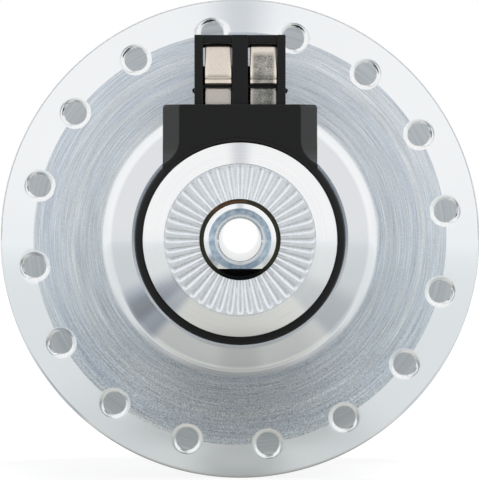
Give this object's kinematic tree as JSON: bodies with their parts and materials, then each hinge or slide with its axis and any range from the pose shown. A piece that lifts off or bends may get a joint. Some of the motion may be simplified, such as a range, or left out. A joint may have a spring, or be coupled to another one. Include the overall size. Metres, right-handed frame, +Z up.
{
  "type": "hub dynamo",
  "caption": "Front-wheel hub dynamo: flanged aluminium shell with spoke holes turning on a hollow quick-release axle, two-pole plug connector at one end.",
  "frame": {"origin": "middle of the axle, on its axis, halfway between the two dropout faces", "axes": "+Y along the axle away from the connector end, +Z up along the plug connector, +X to the right seen from the connector end"},
  "size_m": [0.0624, 0.108, 0.0624],
  "materials": {
    "axle_steel": "turned bright steel",
    "soft_iron": "stamped soft iron, oiled",
    "bobbin_plastic": "moulded natural nylon",
    "enamelled_copper": "enamelled copper wire",
    "red_wire_insulation": "red insulation",
    "black_wire_insulation": "black insulation",
    "bearing_steel": "ground bearing steel",
    "turned_aluminium": "turned aluminium",
    "end_nut_steel": "turned stainless steel",
    "black_plastic": "moulded black nylon",
    "nickel_plating": "nickel-plated strip",
    "shell_aluminium": "turned, brushed and clear-anodised aluminium",
    "black_rubber": "moulded nitrile rubber",
    "ferrite_magnet": "sintered ferrite",
    "cage_plastic": "moulded nylon"
  },
  "bodies": {
    "axle_assembly": {"axle": "axle_steel", "stator_core": "soft_iron", "coil_bobbin": "bobbin_plastic", "coil_winding": "enamelled_copper", "left_claw_plate": "soft_iron", "right_claw_plate": "soft_iron", "stator_nut": "axle_steel", "live_lead_wire": "red_wire_insulation", "return_lead_wire": "black_wire_insulation", "left_inner_race": "bearing_steel", "right_inner_race": "bearing_steel", "left_spacer_sleeve": "turned_aluminium", "right_spacer_sleeve": "turned_aluminium", "left_end_nut": "end_nut_steel", "right_end_nut": "end_nut_steel", "left_end_ring": "black_plastic", "connector_housing": "black_plastic", "live_terminal": "nickel_plating", "return_terminal": "nickel_plating"},
    "wheel_shell": {"hub_shell": "shell_aluminium", "shell_cover": "shell_aluminium", "shell_o_ring": "black_rubber", "back_iron_ring": "soft_iron", "rotor_magnets": "ferrite_magnet", "left_outer_race": "bearing_steel", "right_outer_race": "bearing_steel", "left_bearing_shields": "black_rubber", "right_bearing_shields": "black_rubber", "left_shaft_seal": "black_rubber", "right_shaft_seal": "black_rubber"},
    "left_ball_set": {"left_balls": "bearing_steel", "left_ball_cage": "cage_plastic"},
    "right_ball_set": {"right_balls": "bearing_steel", "right_ball_cage": "cage_plastic"}
  },
  "joints": [
    {"name": "hub_spin", "type": "hinge", "parent": "axle_assembly", "child": "wheel_shell", "pos_m": [0, 0, 0], "axis": [0, 1, 0], "continuous": true},
    {"name": "left_cage_spin", "type": "hinge", "parent": "axle_assembly", "child": "left_ball_set", "pos_m": [0, 0.0255, 0], "axis": [0, 1, 0], "continuous": true},
    {"name": "right_cage_spin", "type": "hinge", "parent": "axle_assembly", "child": "right_ball_set", "pos_m": [0, -0.0255, 0], "axis": [0, 1, 0], "continuous": true}
  ],
  "couplings": [
    {"joint": "left_cage_spin", "follows": "hub_spin", "ratio": 0.59233},
    {"joint": "right_cage_spin", "follows": "hub_spin", "ratio": 0.59233}
  ]
}
